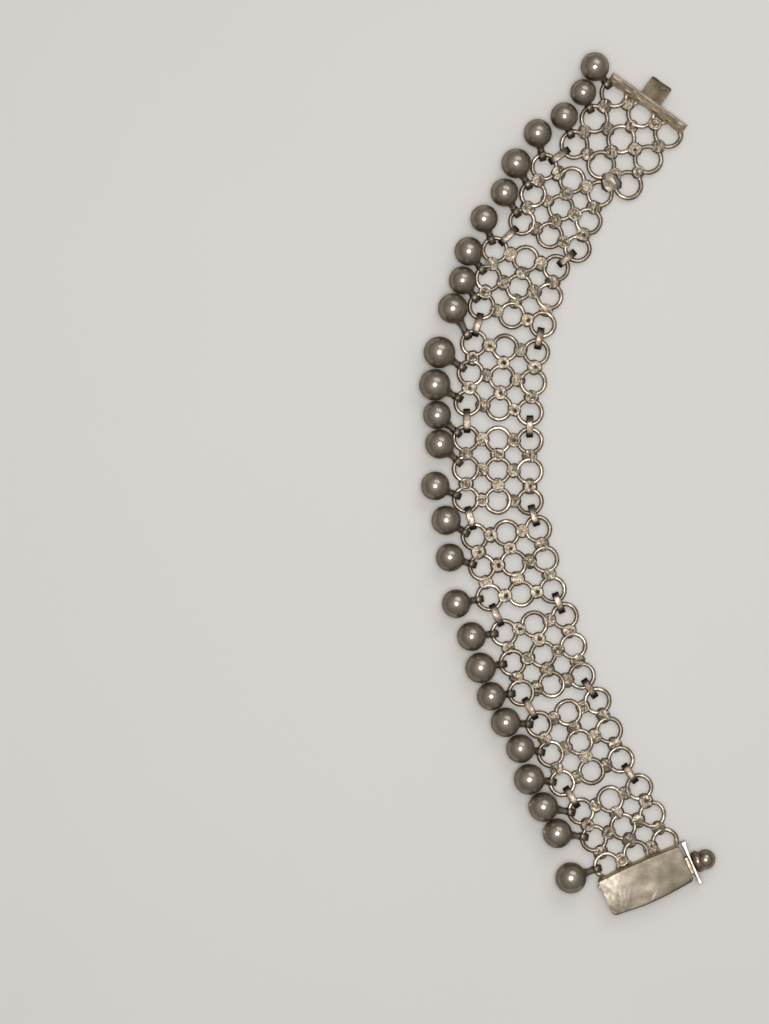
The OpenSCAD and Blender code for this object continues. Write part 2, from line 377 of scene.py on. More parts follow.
# Painted shade on the low sides of the solder pads
pad_silver = metal("pad", [(0.142, 0.117, 0.085), (0.212, 0.177, 0.133), (0.291, 0.247, 0.191)],
                   stain=1.6, roughness=(0.52, 0.38), dents=(0.6, 0.6), crown=(0.9, 1.4))
# Painted shade on the low sides of the straps and on their ends, where they dip behind the wires
strap_silver = metal("strap", [(0.083, 0.066, 0.051), (0.144, 0.114, 0.088), (0.329, 0.286, 0.242)],
                     stain=1.7, roughness=(0.4, 0.26), dents=(0.8, 0.5), scratches=0.3, crown=(1.3, 2.3),
                     facing=(0.28, 0.78))
# Colours darker than the ball's: painted shade where the loop sinks into its ring's hole
loop_silver = metal("loop", [(0.075, 0.06, 0.044), (0.125, 0.102, 0.076), (0.27, 0.232, 0.183)],
                    stain=1.7, roughness=(0.46, 0.34), dents=(0.8, 0.5))
# Painted shade at the rim of each ball, where its face turns away from the top
ball_silver = metal("ball", [(0.172, 0.135, 0.096), (0.227, 0.183, 0.133), (0.304, 0.251, 0.188)],
                    stain=2.6, roughness=(0.6, 0.46), dents=(2.2, 0.4), scratches=0.3,
                    facing=(-6.0, 0.45), skin=1.0)
box_silver = box_metal()
# Paler than the box's metal: painted light that offsets the shade the box casts over the solder
solder_silver = metal("solder", [(0.36, 0.295, 0.206), (0.544, 0.454, 0.326), (0.75, 0.636, 0.47)],
                      stain=2.2, roughness=(0.52, 0.4), dents=(1.0, 0.4))
# Painted shade on the low sides of the wide strap
nugget_silver = metal("nugget", [(0.11, 0.095, 0.076), (0.185, 0.161, 0.131), (0.36, 0.318, 0.265)],
                      stain=2.4, roughness=(0.42, 0.26), dents=(0.8, 0.2), crown=(0.8, 2.2))
# Pale colours are painted light on the plate's leaning face; its facing range paints the top edge darker
plate_silver = metal("plate", [(0.42, 0.345, 0.262), (0.69, 0.58, 0.46), (0.93, 0.82, 0.67)],
                     stain=2.4, roughness=(0.58, 0.48), dents=(0.8, 0.6), facing=(1.12, 0.7))
tongue_silver = metal("tongue", [(0.134, 0.108, 0.072), (0.206, 0.17, 0.117), (0.299, 0.251, 0.176)],
                      stain=3.0, roughness=(0.52, 0.4), dents=(1.1, 0.3), scratches=0.4)
# Painted shade at the rims of the bead and the balls of the pin, where their faces turn away from the top
bead_silver = metal("bead", [(0.12, 0.083, 0.05), (0.228, 0.162, 0.098), (0.43, 0.325, 0.205)],
                    stain=2.0, roughness=(0.36, 0.26), dents=(1.4, 0.2), facing=(0.1, 0.85), skin=1.0)
cap_silver = metal("cap", [(0.541, 0.503, 0.437), (0.722, 0.69, 0.626), (0.836, 0.81, 0.76)],
                   stain=2.5, roughness=(0.45, 0.3), dents=(0.9, 0.3))


# Mesh work


def as_piece(name, data, material=None):
    """An object at the origin that carries a mesh, a lamp or a camera."""
    piece = bpy.data.objects.new(name, data)
    bpy.context.scene.collection.objects.link(piece)
    if material:
        data.materials.append(material)
    return piece


def skinned(rows, closed=False):
    """Faces between rows of points in millimetres, with the points made; a row of one point is a pole,
    and closed joins the last row to the first."""
    bm = bmesh.new()
    made = [[bm.verts.new(Vector(p) * MM) for p in row] for row in rows]
    for low, high in zip(made, made[1:] + (made[:1] if closed else [])):
        count = max(len(low), len(high))
        for i in range(count):
            j = (i + 1) % count
            corners = [low[i % len(low)], low[j % len(low)], high[j % len(high)], high[i % len(high)]]
            bm.faces.new(list(dict.fromkeys(corners)))
    return bm, made


def from_rows(name, rows, material, place, closed=False, smooth=True):
    """A piece skinned over rows of points."""
    return finished(skinned(rows, closed)[0], name, material, place, smooth=smooth)


def capped(rows, first, last):
    """Rows of points with a pole before and after them."""
    return [[first], *rows, [last]]


def finished(bm, name, material, place, sharp=None, smooth=True):
    """A piece from worked faces, smooth or in facets, or crisp where they bend by more than an angle."""
    bmesh.ops.recalc_face_normals(bm, faces=bm.faces)
    for face in bm.faces:
        face.smooth = smooth
    mesh = bpy.data.meshes.new(name)
    bm.to_mesh(mesh)
    bm.free()
    mesh.transform(place)
    if sharp:
        mesh.set_sharp_from_angle(angle=radians(sharp))
    return as_piece(name, mesh, material)


def turned(name, profile, sides, material, place=Matrix(), closed=False):
    """A shape turned about Z from (radius, height) points; a radius of 0 is a pole."""
    rows = []
    for radius, height in profile:
        steps = sides if radius else 1
        angles = [2 * pi * i / steps for i in range(steps)]
        rows.append([(radius * cos(a), radius * sin(a), height) for a in angles])
    return from_rows(name, rows, material, place, closed)


def ball_line(radius, centre, first, last, steps):
    """Part of a ball's outline between two angles from its low pole."""
    angles = [first + (last - first) * i / (steps - 1) for i in range(steps)]
    return [(radius * sin(a), centre - radius * cos(a)) for a in angles]


def bar(name, size, centre, soften, material, place, cuts=0):
    """A bar with softened edges, cut up finely enough to be hammered."""
    bm = bmesh.new()
    bmesh.ops.create_cube(bm, size=1)
    bmesh.ops.scale(bm, vec=Vector(size) * MM, verts=bm.verts)
    bmesh.ops.translate(bm, vec=Vector(centre) * MM, verts=bm.verts)
    bmesh.ops.bevel(bm, geom=bm.edges, offset=soften * MM, segments=3, profile=0.5, affect="EDGES")
    if cuts:
        longest = max(range(3), key=lambda i: size[i])
        runs = [e for e in bm.edges
                if abs((e.verts[0].co - e.verts[1].co)[longest]) > 0.5 * size[longest] * MM]
        bmesh.ops.subdivide_edges(bm, edges=runs, cuts=cuts, use_grid_fill=True)
    return finished(bm, name, material, place, sharp=50)


def hammered(piece, depth, size, seed):
    """Moves the surface in and out by soft noise; depth and size are in millimetres."""
    offset = Vector((seed * 3.7, seed * 1.3, seed * 2.1))
    pushes = [v.normal * noise.noise(v.co / (size * MM) + offset) for v in piece.data.vertices]
    for vertex, push in zip(piece.data.vertices, pushes):
        vertex.co += push * depth * MM
    piece.data.update()
    return piece


def noted(mesh, label, values, domain="POINT"):
    """Notes a number on each point or edge of a mesh."""
    mesh.attributes.new(label, "FLOAT", domain).data.foreach_set("value", values)


def faced(piece):
    """Notes on each point how far its face looks up, from -1 below to 1 on top."""
    noted(piece.data, "up", [v.normal.z for v in piece.data.vertices])
    return piece


def trimmed(piece, place, y, side):
    """Cuts off what lies past a line across a place, on one side (1 or -1), and closes the cuts."""
    bm = bmesh.new()
    bm.from_mesh(piece.data)
    everything = bm.verts[:] + bm.edges[:] + bm.faces[:]
    done = bmesh.ops.bisect_plane(bm, geom=everything, plane_co=place @ Vector((0, y * MM, 0)),
                                  plane_no=place.to_3x3() @ Vector((0, side, 0)), clear_outer=True)
    edges = [item for item in done["geom_cut"] if isinstance(item, bmesh.types.BMEdge)]
    bmesh.ops.holes_fill(bm, edges=edges, sides=0)
    bm.to_mesh(piece.data)
    bm.free()
    return piece


def joined(name, pieces):
    """One object from several, each keeping its own metal."""
    bm = bmesh.new()
    mesh = bpy.data.meshes.new(name)
    for piece in pieces:
        first = len(bm.faces)
        bm.from_mesh(piece.data)
        bm.faces.ensure_lookup_table()
        metal_of_piece = piece.data.materials[0]
        if metal_of_piece.name not in mesh.materials:
            mesh.materials.append(metal_of_piece)
        for face in bm.faces[first:]:
            face.material_index = mesh.materials.find(metal_of_piece.name)
        bpy.data.objects.remove(piece)
    bm.to_mesh(mesh)
    bm.free()
    return as_piece(name, mesh)


def show(piece, *nodes, body=ANKLET, slot="silver"):
    """Hands a finished piece to the frame, with the nodes that it stands for."""
    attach(piece, body)
    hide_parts(*nodes)
    return piece


def baked(piece):
    """Works a piece's modifiers into a plain mesh."""
    graph = bpy.context.evaluated_depsgraph_get()
    plain = bpy.data.meshes.new_from_object(piece.evaluated_get(graph))
    piece.modifiers.clear()
    piece.data = plain
    return piece


def cut_out(piece, cutters):
    """Cuts the shapes of some closed pieces out of another."""
    for cutter in cutters:
        modifier = piece.modifiers.new("cut", "BOOLEAN")
        modifier.operation, modifier.solver, modifier.object = "DIFFERENCE", "EXACT", cutter
    baked(piece)
    for cutter in cutters:
        bpy.data.objects.remove(cutter)
    return piece


# Geometry node trees

# Kinds of inputs of a tree, with the names of their sockets
KINDS = {"numbers": "Float", "whole": "Int", "collections": "Collection", "objects": "Object"}


class Tree:
    """A geometry node tree with named inputs."""

    def __init__(self, name, **inputs):
        self.group = bpy.data.node_groups.new(name, "GeometryNodeTree")
        interface = self.group.interface
        interface.new_socket("Geometry", in_out="INPUT", socket_type="NodeSocketGeometry")
        self.sockets = {
            label: interface.new_socket(label, in_out="INPUT",
                                        socket_type="NodeSocket" + KINDS[kind]).identifier
            for kind, labels in inputs.items() for label in labels
        }
        interface.new_socket("Geometry", in_out="OUTPUT", socket_type="NodeSocketGeometry")
        self.start = add(self.group, "GroupInput")

    def given(self, label="Geometry"):
        """One of the tree's own inputs."""
        return self.start.outputs[label]

    def add(self, kind, settings=None, **inputs):
        """Adds a node and gives its first output."""
        return out(add(self.group, kind, settings, **inputs))

    def stored(self, name, data_type):
        """A value that the points carry."""
        node = add(self.group, "InputNamedAttribute", {"data_type": data_type}, Name=name)
        return out(node, "Attribute")

    def chance(self, low, high, salt):
        """A random vector for each instance, always the same for a seed."""
        seed = sums(self.group, "ADD", self.given("Seed"), salt)
        return self.add("RandomValue", {"data_type": "FLOAT_VECTOR"}, Min=low, Max=high, Seed=seed)

    def placed(self, points, shape, amount, size, **settings):
        """Puts a shape on each point, made real and uneven by soft noise, as hand work leaves it."""
        shapes = self.add("InstanceOnPoints", Points=points, Instance=shape, **settings)
        shapes = self.add("RealizeInstances", Geometry=shapes)
        where = self.add("InputPosition")
        soft = add(self.group, "TexNoise", {"noise_dimensions": "4D"}, Vector=where,
                   W=sums(self.group, "MULTIPLY", self.given("Seed"), 7.3),
                   Scale=1 / (size * MM), Detail=1.0)
        centred = vector_sums(self.group, "SUBTRACT", out(soft, "Color"), (0.5, 0.5, 0.5))
        scaled = vector_sums(self.group, "SCALE", centred, Scale=amount)
        return self.add("SetPosition", Geometry=shapes, Offset=scaled)

    def marked(self, geometry, label):
        """Marks every face of a geometry, so that it can be given its own metal."""
        return self.add("StoreNamedAttribute", {"data_type": "BOOLEAN", "domain": "FACE"},
                        Geometry=geometry, Name=label, Value=True)

    def finish(self, parts, metals):
        """Ends the tree in real geometry with its metals; metals are (metal, selection) pairs."""
        together = add(self.group, "JoinGeometry")
        for part in reversed(parts):
            self.group.links.new(part, together.inputs[0])
        geometry = self.add("RealizeInstances", Geometry=out(together))
        for material, selection in metals:
            geometry = self.add("SetMaterial", Geometry=geometry, Material=material, Selection=selection)
        self.group.links.new(geometry, add(self.group, "GroupOutput").inputs[0])

    def grow(self, piece, **values):
        """Runs the tree on a piece and leaves a plain mesh."""
        modifier = piece.modifiers.new("grow", "NODES")
        modifier.node_group = self.group
        for label, value in values.items():
            modifier[self.sockets[label.replace("_", " ")]] = value
        return baked(piece)


def ring_work_tree():
    """A wire ring on each point of a grid, and on each of its edges a pad of solder and a tile."""
    tree = Tree("ring_work", numbers=["Ring radius", "Wire", "Wobble", "Unevenness"],
                collections=["Tiles"], objects=["Pad"], whole=["Seed"])
    rings = wire_rings(tree)
    joints = tree.add("MeshToPoints", {"mode": "EDGES"}, Mesh=tree.given())
    heading = tree.add("CombineXYZ", Z=tree.stored("heading", "FLOAT"))
    pads = solder_pads(tree, joints, heading)
    tiles = small_tiles(tree, joints, heading)
    on_pad, on_tile = tree.stored("pad", "BOOLEAN"), tree.stored("tile", "BOOLEAN")
    tree.finish([rings, pads, tiles], [(wire_silver, True), (pad_silver, on_pad), (tile_silver, on_tile)])
    return tree


def wire_rings(tree):
    """Rings of round wire, each turned by chance so that their flaws don't line up."""
    path = tree.add("CurvePrimitiveCircle", Resolution=44, Radius=tree.given("Ring radius"))
    section = tree.add("CurvePrimitiveCircle", Resolution=10,
                       Radius=sums(tree.group, "MULTIPLY", tree.given("Wire"), 0.5))
    wire = tree.add("CurveToMesh", Curve=path, Profile_Curve=section)
    rings = tree.placed(tree.given(), wire, tree.given("Wobble"), 3.2,
                        Rotation=tree.chance((-0.02, -0.02, 0), (0.02, 0.02, 6.28), 1),
                        Scale=tree.chance((0.99, 0.99, 0.98), (1.012, 1.012, 1.06), 2))
    return tree.add("SetShadeSmooth", Geometry=rings)


def solder_pads(tree, joints, heading):
    """The solder under each tile."""
    pad = out(add(tree.group, "ObjectInfo", Object=tree.given("Pad")), "Geometry")
    spread = sums(tree.group, "MULTIPLY", tree.given("Unevenness"), 2.2)
    pads = tree.placed(joints, pad, spread, 1.3, Rotation=heading,
                       Scale=tree.chance((0.86, 0.86, 0.8), (1.06, 1.1, 1.15), 7))
    return tree.marked(pads, "pad")


def small_tiles(tree, joints, heading):
    """A tile of one of the four kinds on each joint."""
    kinds = tree.add("CollectionInfo", Collection=tree.given("Tiles"),
                     Separate_Children=True, Reset_Children=True)
    which = tree.add("RandomValue", {"data_type": "INT"}, Min=0, Max=4,
                     Seed=sums(tree.group, "ADD", tree.given("Seed"), 3))
    aside = tree.chance((-0.12, -0.12, -0.35), (0.12, 0.12, 0.35), 4)
    turn = vector_sums(tree.group, "ADD", heading, aside)
    tiles = tree.placed(joints, kinds, tree.given("Unevenness"), 0.75, Pick_Instance=True,
                        Instance_Index=which, Rotation=turn,
                        Scale=tree.chance((0.9, 0.9, 0.92), (1.06, 1.06, 1.05), 5))
    return tree.marked(tiles, "tile")


def strap_link_tree():
    """A strap link on each point, turned by the heading that the point carries. It bends down early
    past the wires, as a strip does that was closed with pliers."""
    tree = Tree("strap_links", whole=["Seed"],
                numbers=["Length", "Height", "Width", "Strap", "Squareness", "Wobble"])
    strap = tree.given("Strap")
    section = tree.add("CurvePrimitiveQuadrilateral", Width=strap, Height=tree.given("Width"))
    section = tree.add("FilletCurve", {"mode": "POLY"}, Curve=section, Count=3,
                       Limit_Radius=True, Radius=sums(tree.group, "MULTIPLY", strap, 0.35))
    link = tree.add("CurveToMesh", Curve=strap_path(tree), Profile_Curve=section)
    link = tree.add("Transform", Geometry=link, Rotation=(pi / 2, 0, 0))
    # Painted shade on the ends of each strap
    link = dark_ended(tree, link)
    turn = tree.add("CombineXYZ", Z=tree.stored("heading", "FLOAT"))
    askew = tree.chance((-0.03, -0.02, -0.06), (0.03, 0.02, 0.06), 2)
    turn = vector_sums(tree.group, "ADD", turn, askew)
    links = tree.placed(tree.given(), link, tree.given("Wobble"), 2.0, Rotation=turn)
    tree.finish([tree.add("SetShadeSmooth", Geometry=links)], [(strap_silver, True)])
    return tree


def strap_path(tree):
    """The loop that a strap follows round two wires, with its corners as square as asked."""
    group = tree.group
    circle = tree.add("CurvePrimitiveCircle", Resolution=40, Radius=1.0)
    power = sums(group, "DIVIDE", 2.0, tree.given("Squareness"))
    sides = []
    for axis, label in (("X", "Length"), ("Y", "Height")):
        value = coordinate(group, tree.add("InputPosition"), axis)
        share = sums(group, "POWER", sums(group, "ABSOLUTE", value), power)
        half = sums(group, "MULTIPLY", sums(group, "SUBTRACT", tree.given(label), tree.given("Strap")), 0.5)
        signed = sums(group, "MULTIPLY", share, sums(group, "SIGN", value))
        sides.append(sums(group, "MULTIPLY", signed, half))
    where = tree.add("CombineXYZ", X=sides[0], Y=sides[1])
    path = tree.add("SetPosition", Geometry=circle, Position=where)
    return tree.add("SetCurveNormal", {"mode": "Z_UP"}, Curve=path)


def dark_ended(tree, link):
    """Notes the ends of a strap as looking away, so that its metal paints shade on them where they dip
    behind the wires.
    """
    along = coordinate(tree.group, tree.add("InputPosition"), "X")
    share = sums(tree.group, "DIVIDE", sums(tree.group, "ABSOLUTE", along), tree.given("Length"))
    return tree.add("StoreNamedAttribute", {"data_type": "FLOAT", "domain": "POINT"},
                    Geometry=link, Name="up", Value=sums(tree.group, "MULTIPLY_ADD", share, -2.0, 1.0))


# Ring panels


def tile_kinds():
    """Four small caps of thin sheet: one with a stamped ring, one pitted, one folded, one slumped."""
    def stamped(x, y):
        d = hypot(x, y)
        return 0.66 + 0.16 * exp(-((d - 0.85) / 0.2) ** 2) - 0.12 * exp(-(d / 0.3) ** 2)

    def pitted(x, y):
        return 0.8 - 0.42 * exp(-((x - 0.2) ** 2 + (y + 0.15) ** 2) / 0.13)

    def folded(x, y):
        return 0.86 - 0.22 * abs(x + 0.5 * y)

    def slumped(x, y):
        return 0.68 + 0.1 * x - 0.13 * abs(y - 0.3)

    collection = bpy.data.collections.new("tiles")
    for kind in (stamped, pitted, folded, slumped):
        tile = tile_cap("tile_" + kind.__name__, kind)
        bpy.context.scene.collection.objects.unlink(tile)
        collection.objects.link(tile)
    return collection


def tile_cap(name, relief):
    """A squarish cap with a crumpled face; relief gives the height of its face at a place on it."""
    half, sides, underside = TILE_WIDTH / 2 - 0.02, 20, -0.35
    rows = []
    for share in (0, 0.16, 0.34, 0.5, 0.66, 0.8, 0.91):
        edge = squarish(half * share, sides if share else 1)
        rows.append([(x, y, relief(x, y)) for x, y in edge])
    for share, z in ((0.985, 0.5), (1, 0.2), (0.97, -0.3), (0.8, underside)):
        rows.append([(x, y, z) for x, y in squarish(half * share, sides)])
    rows.append([(0, 0, underside)])
    return from_rows(name, rows, tile_silver, Matrix(), smooth=False)


def squarish(half, count):
    """Points round a square of a half width with much rounded sides."""
    squareness = 2.9
    points = []
    for i in range(count):
        c, d = cos(2 * pi * i / count), sin(2 * pi * i / count)
        reach = half / (abs(c) ** squareness + abs(d) ** squareness) ** (1 / squareness)
        points.append((reach * c, reach * d))
    return points


def solder_pad():
    """The low spread of solder that carries a tile and fills the corners between its two rings."""
    profile = [(0, 0.3), (1.2, 0.3), (1.75, 0.22), (2.05, 0.0), (2.1, -0.2), (1.85, -0.5), (0, -0.5)]
    pad = turned("solder_pad", profile, 22, pad_silver)
    bpy.context.scene.collection.objects.unlink(pad)
    return pad


def panel_grid(panel):
    """The nine ring centres of a panel and the twelve lines between neighbours, with their headings."""
    centres = [at(*ring_at(panel, i // 3, i % 3), z=WIRE_Z).translation for i in range(9)]
    rows = [(i, i + 1) for i in range(9) if i % 3 < 2]
    columns = [(i, i + 3) for i in range(6)]
    mesh = bpy.data.meshes.new("grid")
    mesh.from_pydata(centres, rows + columns, [])
    row_turn, col_turn = (radians(turn) for turn in PANELS[panel][2:4])
    noted(mesh, "heading", [row_turn] * len(rows) + [col_turn] * len(columns), "EDGE")
    return as_piece(PANEL_NODES[panel] + "_ring_work", mesh)


def solder_foot(wall, ring, radius, side, toward, high, flare, reach_out):
    """The flared end of a ring at a half of the clasp, sloping up to it.

    ring is the ring's middle in the frame of the wall, side the left or right end of its arc, toward
    the side (1 or -1) of the wall on which it lies; high is the level of the solder at the wall, flare
    is how far it spreads along the wall, and reach_out is half the length of the wall."""
    cx, cy = ring
    low, bottom, half_width, arc = WIRE_Z + 0.5, 0.75, 0.52, radians(40)
    foot = asin(max(-1.0, min(1.0, -cy * toward / radius)))

    def on_arc(angle, aside):
        reach = radius + aside
        return Vector((cx + side * reach * cos(angle), cy + toward * reach * sin(angle)))

    root = on_arc(foot, 0)
    rows = []
    for i in range(9):
        t = i / 8
        lines = []
        for way in (1, -1):
            spread = Vector((max(-reach_out, min(reach_out, root.x + way * side * flare)), 0))
            near = Vector((root.x + way * side * 0.55, toward * 0.5))
            lines.append(bend(t, spread, near, on_arc(foot + arc, way * half_width)))
        outer, inner = lines
        level = low + (high - low) * (1 - t) ** 2
        row = [(*outer, bottom)]
        for share in (0, 0.12, 0.3, 0.5, 0.7, 0.88, 1):
            row.append((*outer.lerp(inner, share), level - 0.5 * (2 * share - 1) ** 4))
        rows.append(row + [(*inner, bottom)])
    poles = [tuple(sum(p[k] for p in row) / len(row) for k in range(3)) for row in (rows[0], rows[-1])]
    return from_rows("foot", capped(rows, *poles), solder_silver, wall)


def solder_feet(name, panel, row, wall, toward, **sizes):
    """The flared and sloping ends of the last three rings of a panel, soldered to the clasp."""
    feet = []
    for col in range(3):
        spot = wall.inverted() @ at(*ring_at(panel, row, col)).translation
        for side in (-1, 1):
            foot = solder_foot(wall, (spot.x / MM, spot.y / MM), wire_r(panel), side, toward, **sizes)
            feet.append(hammered(foot, 0.1, 1.2, col + side))
    return joined(name, feet)


ring_work = ring_work_tree()
tiles, pad = tile_kinds(), solder_pad()
for panel, node in enumerate(PANEL_NODES):
    piece = ring_work.grow(panel_grid(panel), Ring_radius=wire_r(panel) * MM, Wire=WIRE * MM,
                           Wobble=0.32 * MM, Unevenness=0.34 * MM, Tiles=tiles, Pad=pad, Seed=11 + panel)
    if panel == FIRST:
        trimmed(piece, leaning, -0.12, 1)
    if panel == LAST:
        trimmed(piece, boxed, BOX_WIDTH / 2 - 0.55, -1)
    show(piece, node)
for pattern in [*tiles.objects, pad]:
    bpy.data.objects.remove(pattern)

plate_feet = solder_feet("plate_solder", FIRST, 0, at(*STOP_AT) @ shift(0, -0.1, 0), -1, high=3.2,
                         flare=1.9, reach_out=12.3)
box_feet = solder_feet("box_solder", LAST, 2, boxed @ shift(0, BOX_WIDTH / 2 - 0.35, 0), 1, high=3.6,
                       flare=0.8, reach_out=11.9)
show(plate_feet, PANEL_NODES[FIRST])
show(box_feet, PANEL_NODES[LAST])


# Strap links


def link_place(n, col):
    """The middle of a strap link between panels n and n + 1, and its heading."""
    (ax, ay), (bx, by) = ring_at(n, 2, col), ring_at(n + 1, 0, col)
    return (ax + bx) / 2, (ay + by) / 2, atan2(by - ay, bx - ax)


def link_points(name, places):
    """A point in the middle of each strap link, with its heading."""
    mesh = bpy.data.meshes.new(name)
    mesh.from_pydata([at(*place[:2], z=WIRE_Z).translation for place in places], [], [])
    noted(mesh, "heading", [place[2] for place in places])
    return as_piece(name, mesh)


# Sections of the wide strap: place across it, and the share of its length that the pliers left
PINCHES = ((-4.9, 0.4), (-3.2, 0.85), (-1.1, 1.0), (0.2, 0.72))


def wide_strap():
    """The one broad strap between the first two panels, pinched with pliers into flat facets."""
    x, y, heading = link_place(0, 2)
    half_long, half_high = (PLAIN_LINK_LENGTH - STRAP) / 2, (LINK_HEIGHT - STRAP) / 2
    facets, shear = 12, -0.15
    rows = []
    for i in range(facets):
        a = 2 * pi * (i + 0.5) / facets
        u, v = (copysign(abs(k) ** 0.75, k) for k in (cos(a), sin(a)))
        outward = Vector((u / half_long, v / half_high)).normalized() * STRAP / 2
        outer, inner = [], []
        for w, pinch in PINCHES:
            outer.append(((u * half_long + outward.x) * pinch + shear * w, w, v * half_high + outward.y))
            inner.append(((u * half_long - outward.x) * pinch + shear * w, w, v * half_high - outward.y))
        rows.append(outer + inner[::-1])
    place = at(x, y, degrees(heading), WIRE_Z)
    strap = from_rows("wide_strap", rows, nugget_silver, place, closed=True, smooth=False)
    return hammered(strap, 0.3, 2.4, 5)


strap_links = strap_link_tree()
for side, col, first, length in (("bell_side", 0, 0, LINK_LENGTH), ("plain_side", 2, 1, PLAIN_LINK_LENGTH)):
    places = [link_place(n, col) for n in range(first, LAST)]
    piece = strap_links.grow(link_points(side + "_straps", places), Length=length * MM,
                             Height=LINK_HEIGHT * MM, Width=LINK_WIDTH * MM, Strap=STRAP * MM,
                             Squareness=3.0, Wobble=0.16 * MM, Seed=5 + col)
    show(piece, side + "_links")
show(wide_strap(), "plain_side_links")


# Ball drops


def drop_profile(radius, far, nub):
    """Half outline of a drop from the inside of its loop to the far pole of its ball."""
    neck, top = NECK / 2, far + radius
    start = Vector((neck - 0.06, 1.32))
    meet = asin(SHOULDER) + 0.04
    end = Vector((radius * sin(meet), far - radius * cos(meet)))
    run = (end.x - neck) / cos(meet)
    knee = end - run * Vector((cos(meet), sin(meet)))
    knee = knee.lerp((start + end) / 2, 0.2)
    points = [(0, 1.05), (neck - 0.05, 1.05), tuple(start)]
    points += [tuple(bend(i / 7, start, knee, end)) for i in range(1, 7)]
    points += ball_line(radius, far, meet, pi - 0.1, 24)
    if nub:
        return points + [(0.4, top), (0.36, top + 0.22), (0.2, top + 0.36), (0, top + 0.4)]
    return points + [(0, top)]


def loop_section():
    """Softened section of the strap loop, as (radius, height) points about the loop's axis."""
    inner, outer, half = LOOP / 2 - STRAP, LOOP / 2, LOOP_WIDTH / 2
    return [(inner, -half + 0.1), (inner + 0.1, -half), (outer - 0.16, -half), (outer, -half + 0.2),
            (outer, half - 0.2), (outer - 0.16, half), (inner + 0.1, half), (inner, half - 0.1)]


def out_from(ring, heading, far):
    """A point of the plan at a heading and a distance from the middle of a ring."""
    angle = radians(heading)
    return Vector((ring[0] + far * cos(angle), ring[1] + far * sin(angle)))


def drop(number, heading, reach, diameter, slide):
    """One ball with its neck and the strap loop round the ring's wire."""
    radius, middle = diameter / 2, LOOP / 2
    panel = (number - 1) // 3
    ring = ring_at(panel, (number - 1) % 3, 0)
    hook = out_from(ring, heading + slide, wire_r(panel) - LOOP_IN)
    way = out_from(ring, heading, RING_R + reach) - hook
    rise = radius - middle
    tilt = atan2(rise, way.length)
    hang = at(*hook, degrees(atan2(way.y, way.x)), middle)
    loop = turned("loop", loop_section(), 30, loop_silver, hang @ Matrix.Rotation(pi / 2, 4, "X"),
                  closed=True)
    ball = turned("ball", drop_profile(radius, hypot(way.length, rise), number in NUBBED), 44,
                  ball_silver, hang @ Matrix.Rotation(pi / 2 - tilt, 4, "Y"))
    hammered(ball, 0.05, 3.4, number)
    hammered(loop, 0.07, 1.2, number + 40)
    return faced(joined(f"bell_{number:02d}_drop", [loop, ball]))


for number, sizes in enumerate(DROPS, start=1):
    show(drop(number, *sizes), f"bell_{number:02d}", slot="dark_silver")


# Stop plate and folded tongue


def tongue_rows():
    """Sections of the folded strip from side to side, drawn in at the corners of its tip."""
    root, corner, half = STOP_THICK / 2 - 0.1, 0.4, TONGUE_WIDTH / 2
    middle_z = STOP_HEIGHT - TONGUE_HEIGHT / 2 - 0.15
    steps = [1, 0.99, 0.97, 0.945, 0.92, 0.88, 0.6, 0.4, 0.2]
    rows = []
    for step in [-s for s in steps] + [0] + steps[::-1]:
        x = step * half
        reach = TONGUE_LENGTH + 0.1 - drawn_in(half - abs(x), corner)
        thin = 0.12 if abs(step) == 1 else 0.0
        outside = fold_line(root, reach, TONGUE_HEIGHT / 2 - thin, middle_z)
        inside = fold_line(root, reach - STRAP + thin, TONGUE_HEIGHT / 2 - STRAP + thin, middle_z)
        rows.append([(x, y, z) for y, z in outside + inside[::-1]])
    return rows


def fold_line(root, reach, half, middle_z):
    """One side of the fold: out along the bottom, round the tip and back along the top."""
    turn_y = root + reach - half
    line = [(root + (turn_y - root) * i / 4, middle_z - half) for i in range(4)]
    for i in range(13):
        a = -pi / 2 + pi * i / 12
        line.append((turn_y + half * cos(a), middle_z + half * sin(a)))
    line += [(turn_y + (root - turn_y) * i / 4, middle_z + half) for i in range(1, 5)]
    return line


def folded_tongue():
    """The folded strip, closed along both of its sides."""
    bm, made = skinned(tongue_rows())
    for row in (made[0], made[-1]):
        for i in range(len(row) // 2 - 1):
            bm.faces.new([row[i], row[i + 1], row[-2 - i], row[-1 - i]])
    return finished(bm, "folded_tongue", tongue_silver, leaning, sharp=60)


def plate_fillet():
    """The solder that runs along the whole foot of the plate, from its rim down to the rings."""
    rim, fall, bottom = STOP_HEIGHT - 0.2, 2.7, 1.1
    rows = []
    for i in range(61):
        x = (STOP_LENGTH / 2 - 0.15) * (i / 30 - 1)
        past = 1.35 + 0.5 * noise.noise(Vector((x / 2.6, 4.2, 0)))
        slope = [(x, -0.1 - past * k / 5, rim - fall * k / 5) for k in range(6)]
        rows.append(slope + [(x, -past, bottom), (x, -0.1, bottom)])
    poles = [(rows[k][0][0], -0.5, 2.6) for k in (0, -1)]
    fillet = from_rows("plate_fillet", capped(rows, *poles), plate_silver, leaning)
    return faced(hammered(fillet, 0.3, 1.6, 12))


plate = bar("stop_plate", (STOP_LENGTH, STOP_THICK, STOP_HEIGHT), (0, 0, STOP_HEIGHT / 2), 0.16,
            plate_silver, leaning, cuts=60)
show(faced(hammered(plate, 0.16, 3.0, 4)), "tongue_plate")
show(hammered(folded_tongue(), 0.1, 2.4, 9), "tongue_plate")
show(plate_fillet(), "tongue_plate")


# Clasp box


